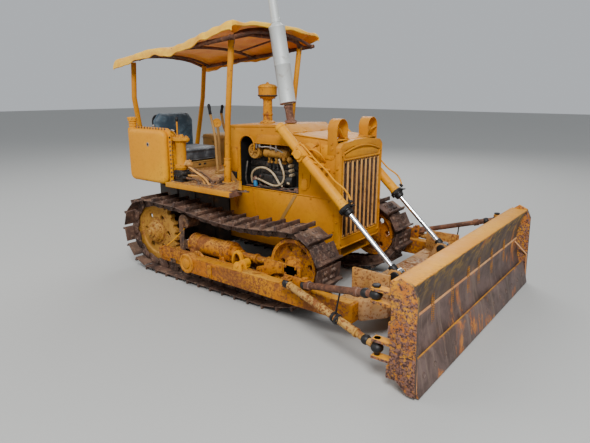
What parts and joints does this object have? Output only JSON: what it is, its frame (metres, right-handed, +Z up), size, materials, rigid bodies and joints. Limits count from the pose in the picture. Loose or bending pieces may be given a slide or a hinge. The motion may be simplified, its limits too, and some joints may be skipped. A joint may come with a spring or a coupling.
{
  "type": "crawler bulldozer",
  "caption": "Small crawler bulldozer with a curved blade on a push frame, two lift cylinders, an open engine bay, lamp guards, a side fuel tank and a cloth canopy over the seat.",
  "frame": {"origin": "on the floor, under the middle of the bounding box", "axes": "+X forward towards the blade, +Y to the machine's left, +Z up"},
  "size_m": [3.38, 2.19, 2.3217],
  "materials": {
    "body_paint": "faded ochre enamel, rusty and scuffed",
    "blade_paint": "worn ochre enamel, mostly rust on the front",
    "dark_paint": "dark dull enamel",
    "track_steel": "rusty, worn bright at the edges",
    "edge_steel": "worn and rusty",
    "engine_iron": "oily and dusty",
    "bare_steel": "dull with rust stains",
    "rod_chrome": "polished",
    "seat_cover": "dusty dark sheet",
    "canopy_fabric": "faded orange sheet with a pale upper side"
  },
  "bodies": {
    "tractor": {"air_precleaner": "body_paint", "canopy_cloth": "canopy_fabric", "canopy_frame": "body_paint", "canopy_posts": "body_paint", "carrier_roller_left": "track_steel", "carrier_roller_right": "track_steel", "cowl": "body_paint", "cross_beam": "body_paint", "cross_beam_seat": "body_paint", "cylinder_bracket_left": "body_paint", "cylinder_bracket_right": "body_paint", "drawbar": "track_steel", "engine_block": "engine_iron", "engine_fittings": "engine_iron", "exhaust": "bare_steel", "fuel_tank": "body_paint", "grille": "dark_paint", "hood": "body_paint", "hydraulic_valve": "bare_steel", "idler_left": "track_steel", "idler_right": "track_steel", "lamp_guard_left": "body_paint", "lamp_guard_right": "body_paint", "left_box": "body_paint", "main_case": "body_paint", "main_frame": "body_paint", "platform": "body_paint", "radiator_core": "engine_iron", "radiator_guard": "body_paint", "seat_backrest": "seat_cover", "seat_cushion": "seat_cover", "seat_pedestal": "dark_paint", "side_panel_left": "body_paint", "side_panel_right": "body_paint", "sprocket_left": "track_steel", "sprocket_right": "track_steel", "steering_levers": "bare_steel", "track_frame_left": "body_paint", "track_frame_right": "body_paint", "track_left": "track_steel", "track_right": "track_steel", "track_rollers_left": "track_steel", "track_rollers_right": "track_steel", "track_tensioner_left": "body_paint", "track_tensioner_right": "body_paint"},
    "push_frame": {"push_arm_right": "body_paint", "push_arm_left": "body_paint", "push_frame_nose": "body_paint", "push_frame_plates": "body_paint", "blade": "blade_paint", "cutting_edge": "edge_steel", "blade_braces_right": "body_paint", "blade_braces_left": "body_paint"},
    "barrel_right": {"cylinder_barrel_right": "body_paint"},
    "barrel_left": {"cylinder_barrel_left": "body_paint"},
    "rod_right": {"cylinder_rod_right": "rod_chrome"},
    "rod_left": {"cylinder_rod_left": "rod_chrome"}
  },
  "joints": [
    {"name": "blade_lift", "type": "hinge", "parent": "tractor", "child": "push_frame", "pos_m": [-0.41, 0, 0.236], "axis": [0, -1, 0], "range_deg": [-7.5, 19]},
    {"name": "cylinder_swing_right", "type": "hinge", "parent": "tractor", "child": "barrel_right", "pos_m": [0.4, -0.386, 1.124], "axis": [0, -1, 0], "range_deg": [-9, 22]},
    {"name": "rod_stroke_right", "type": "slide", "parent": "barrel_right", "child": "rod_right", "axis": [0.7388, 0, -0.6739], "range_m": [-0.392, 0.156]},
    {"name": "cylinder_swing_left", "type": "hinge", "parent": "tractor", "child": "barrel_left", "pos_m": [0.4, 0.386, 1.124], "axis": [0, -1, 0], "range_deg": [-9, 22]},
    {"name": "rod_stroke_left", "type": "slide", "parent": "barrel_left", "child": "rod_left", "axis": [0.7388, 0, -0.6739], "range_m": [-0.392, 0.156]}
  ],
  "couplings": [
    {"joint": "cylinder_swing_right", "follows": "blade_lift", "ratio": 1.14},
    {"joint": "rod_stroke_right", "follows": "blade_lift", "m_per_rad": -1.178},
    {"joint": "cylinder_swing_left", "follows": "blade_lift", "ratio": 1.14},
    {"joint": "rod_stroke_left", "follows": "blade_lift", "m_per_rad": -1.178}
  ]
}
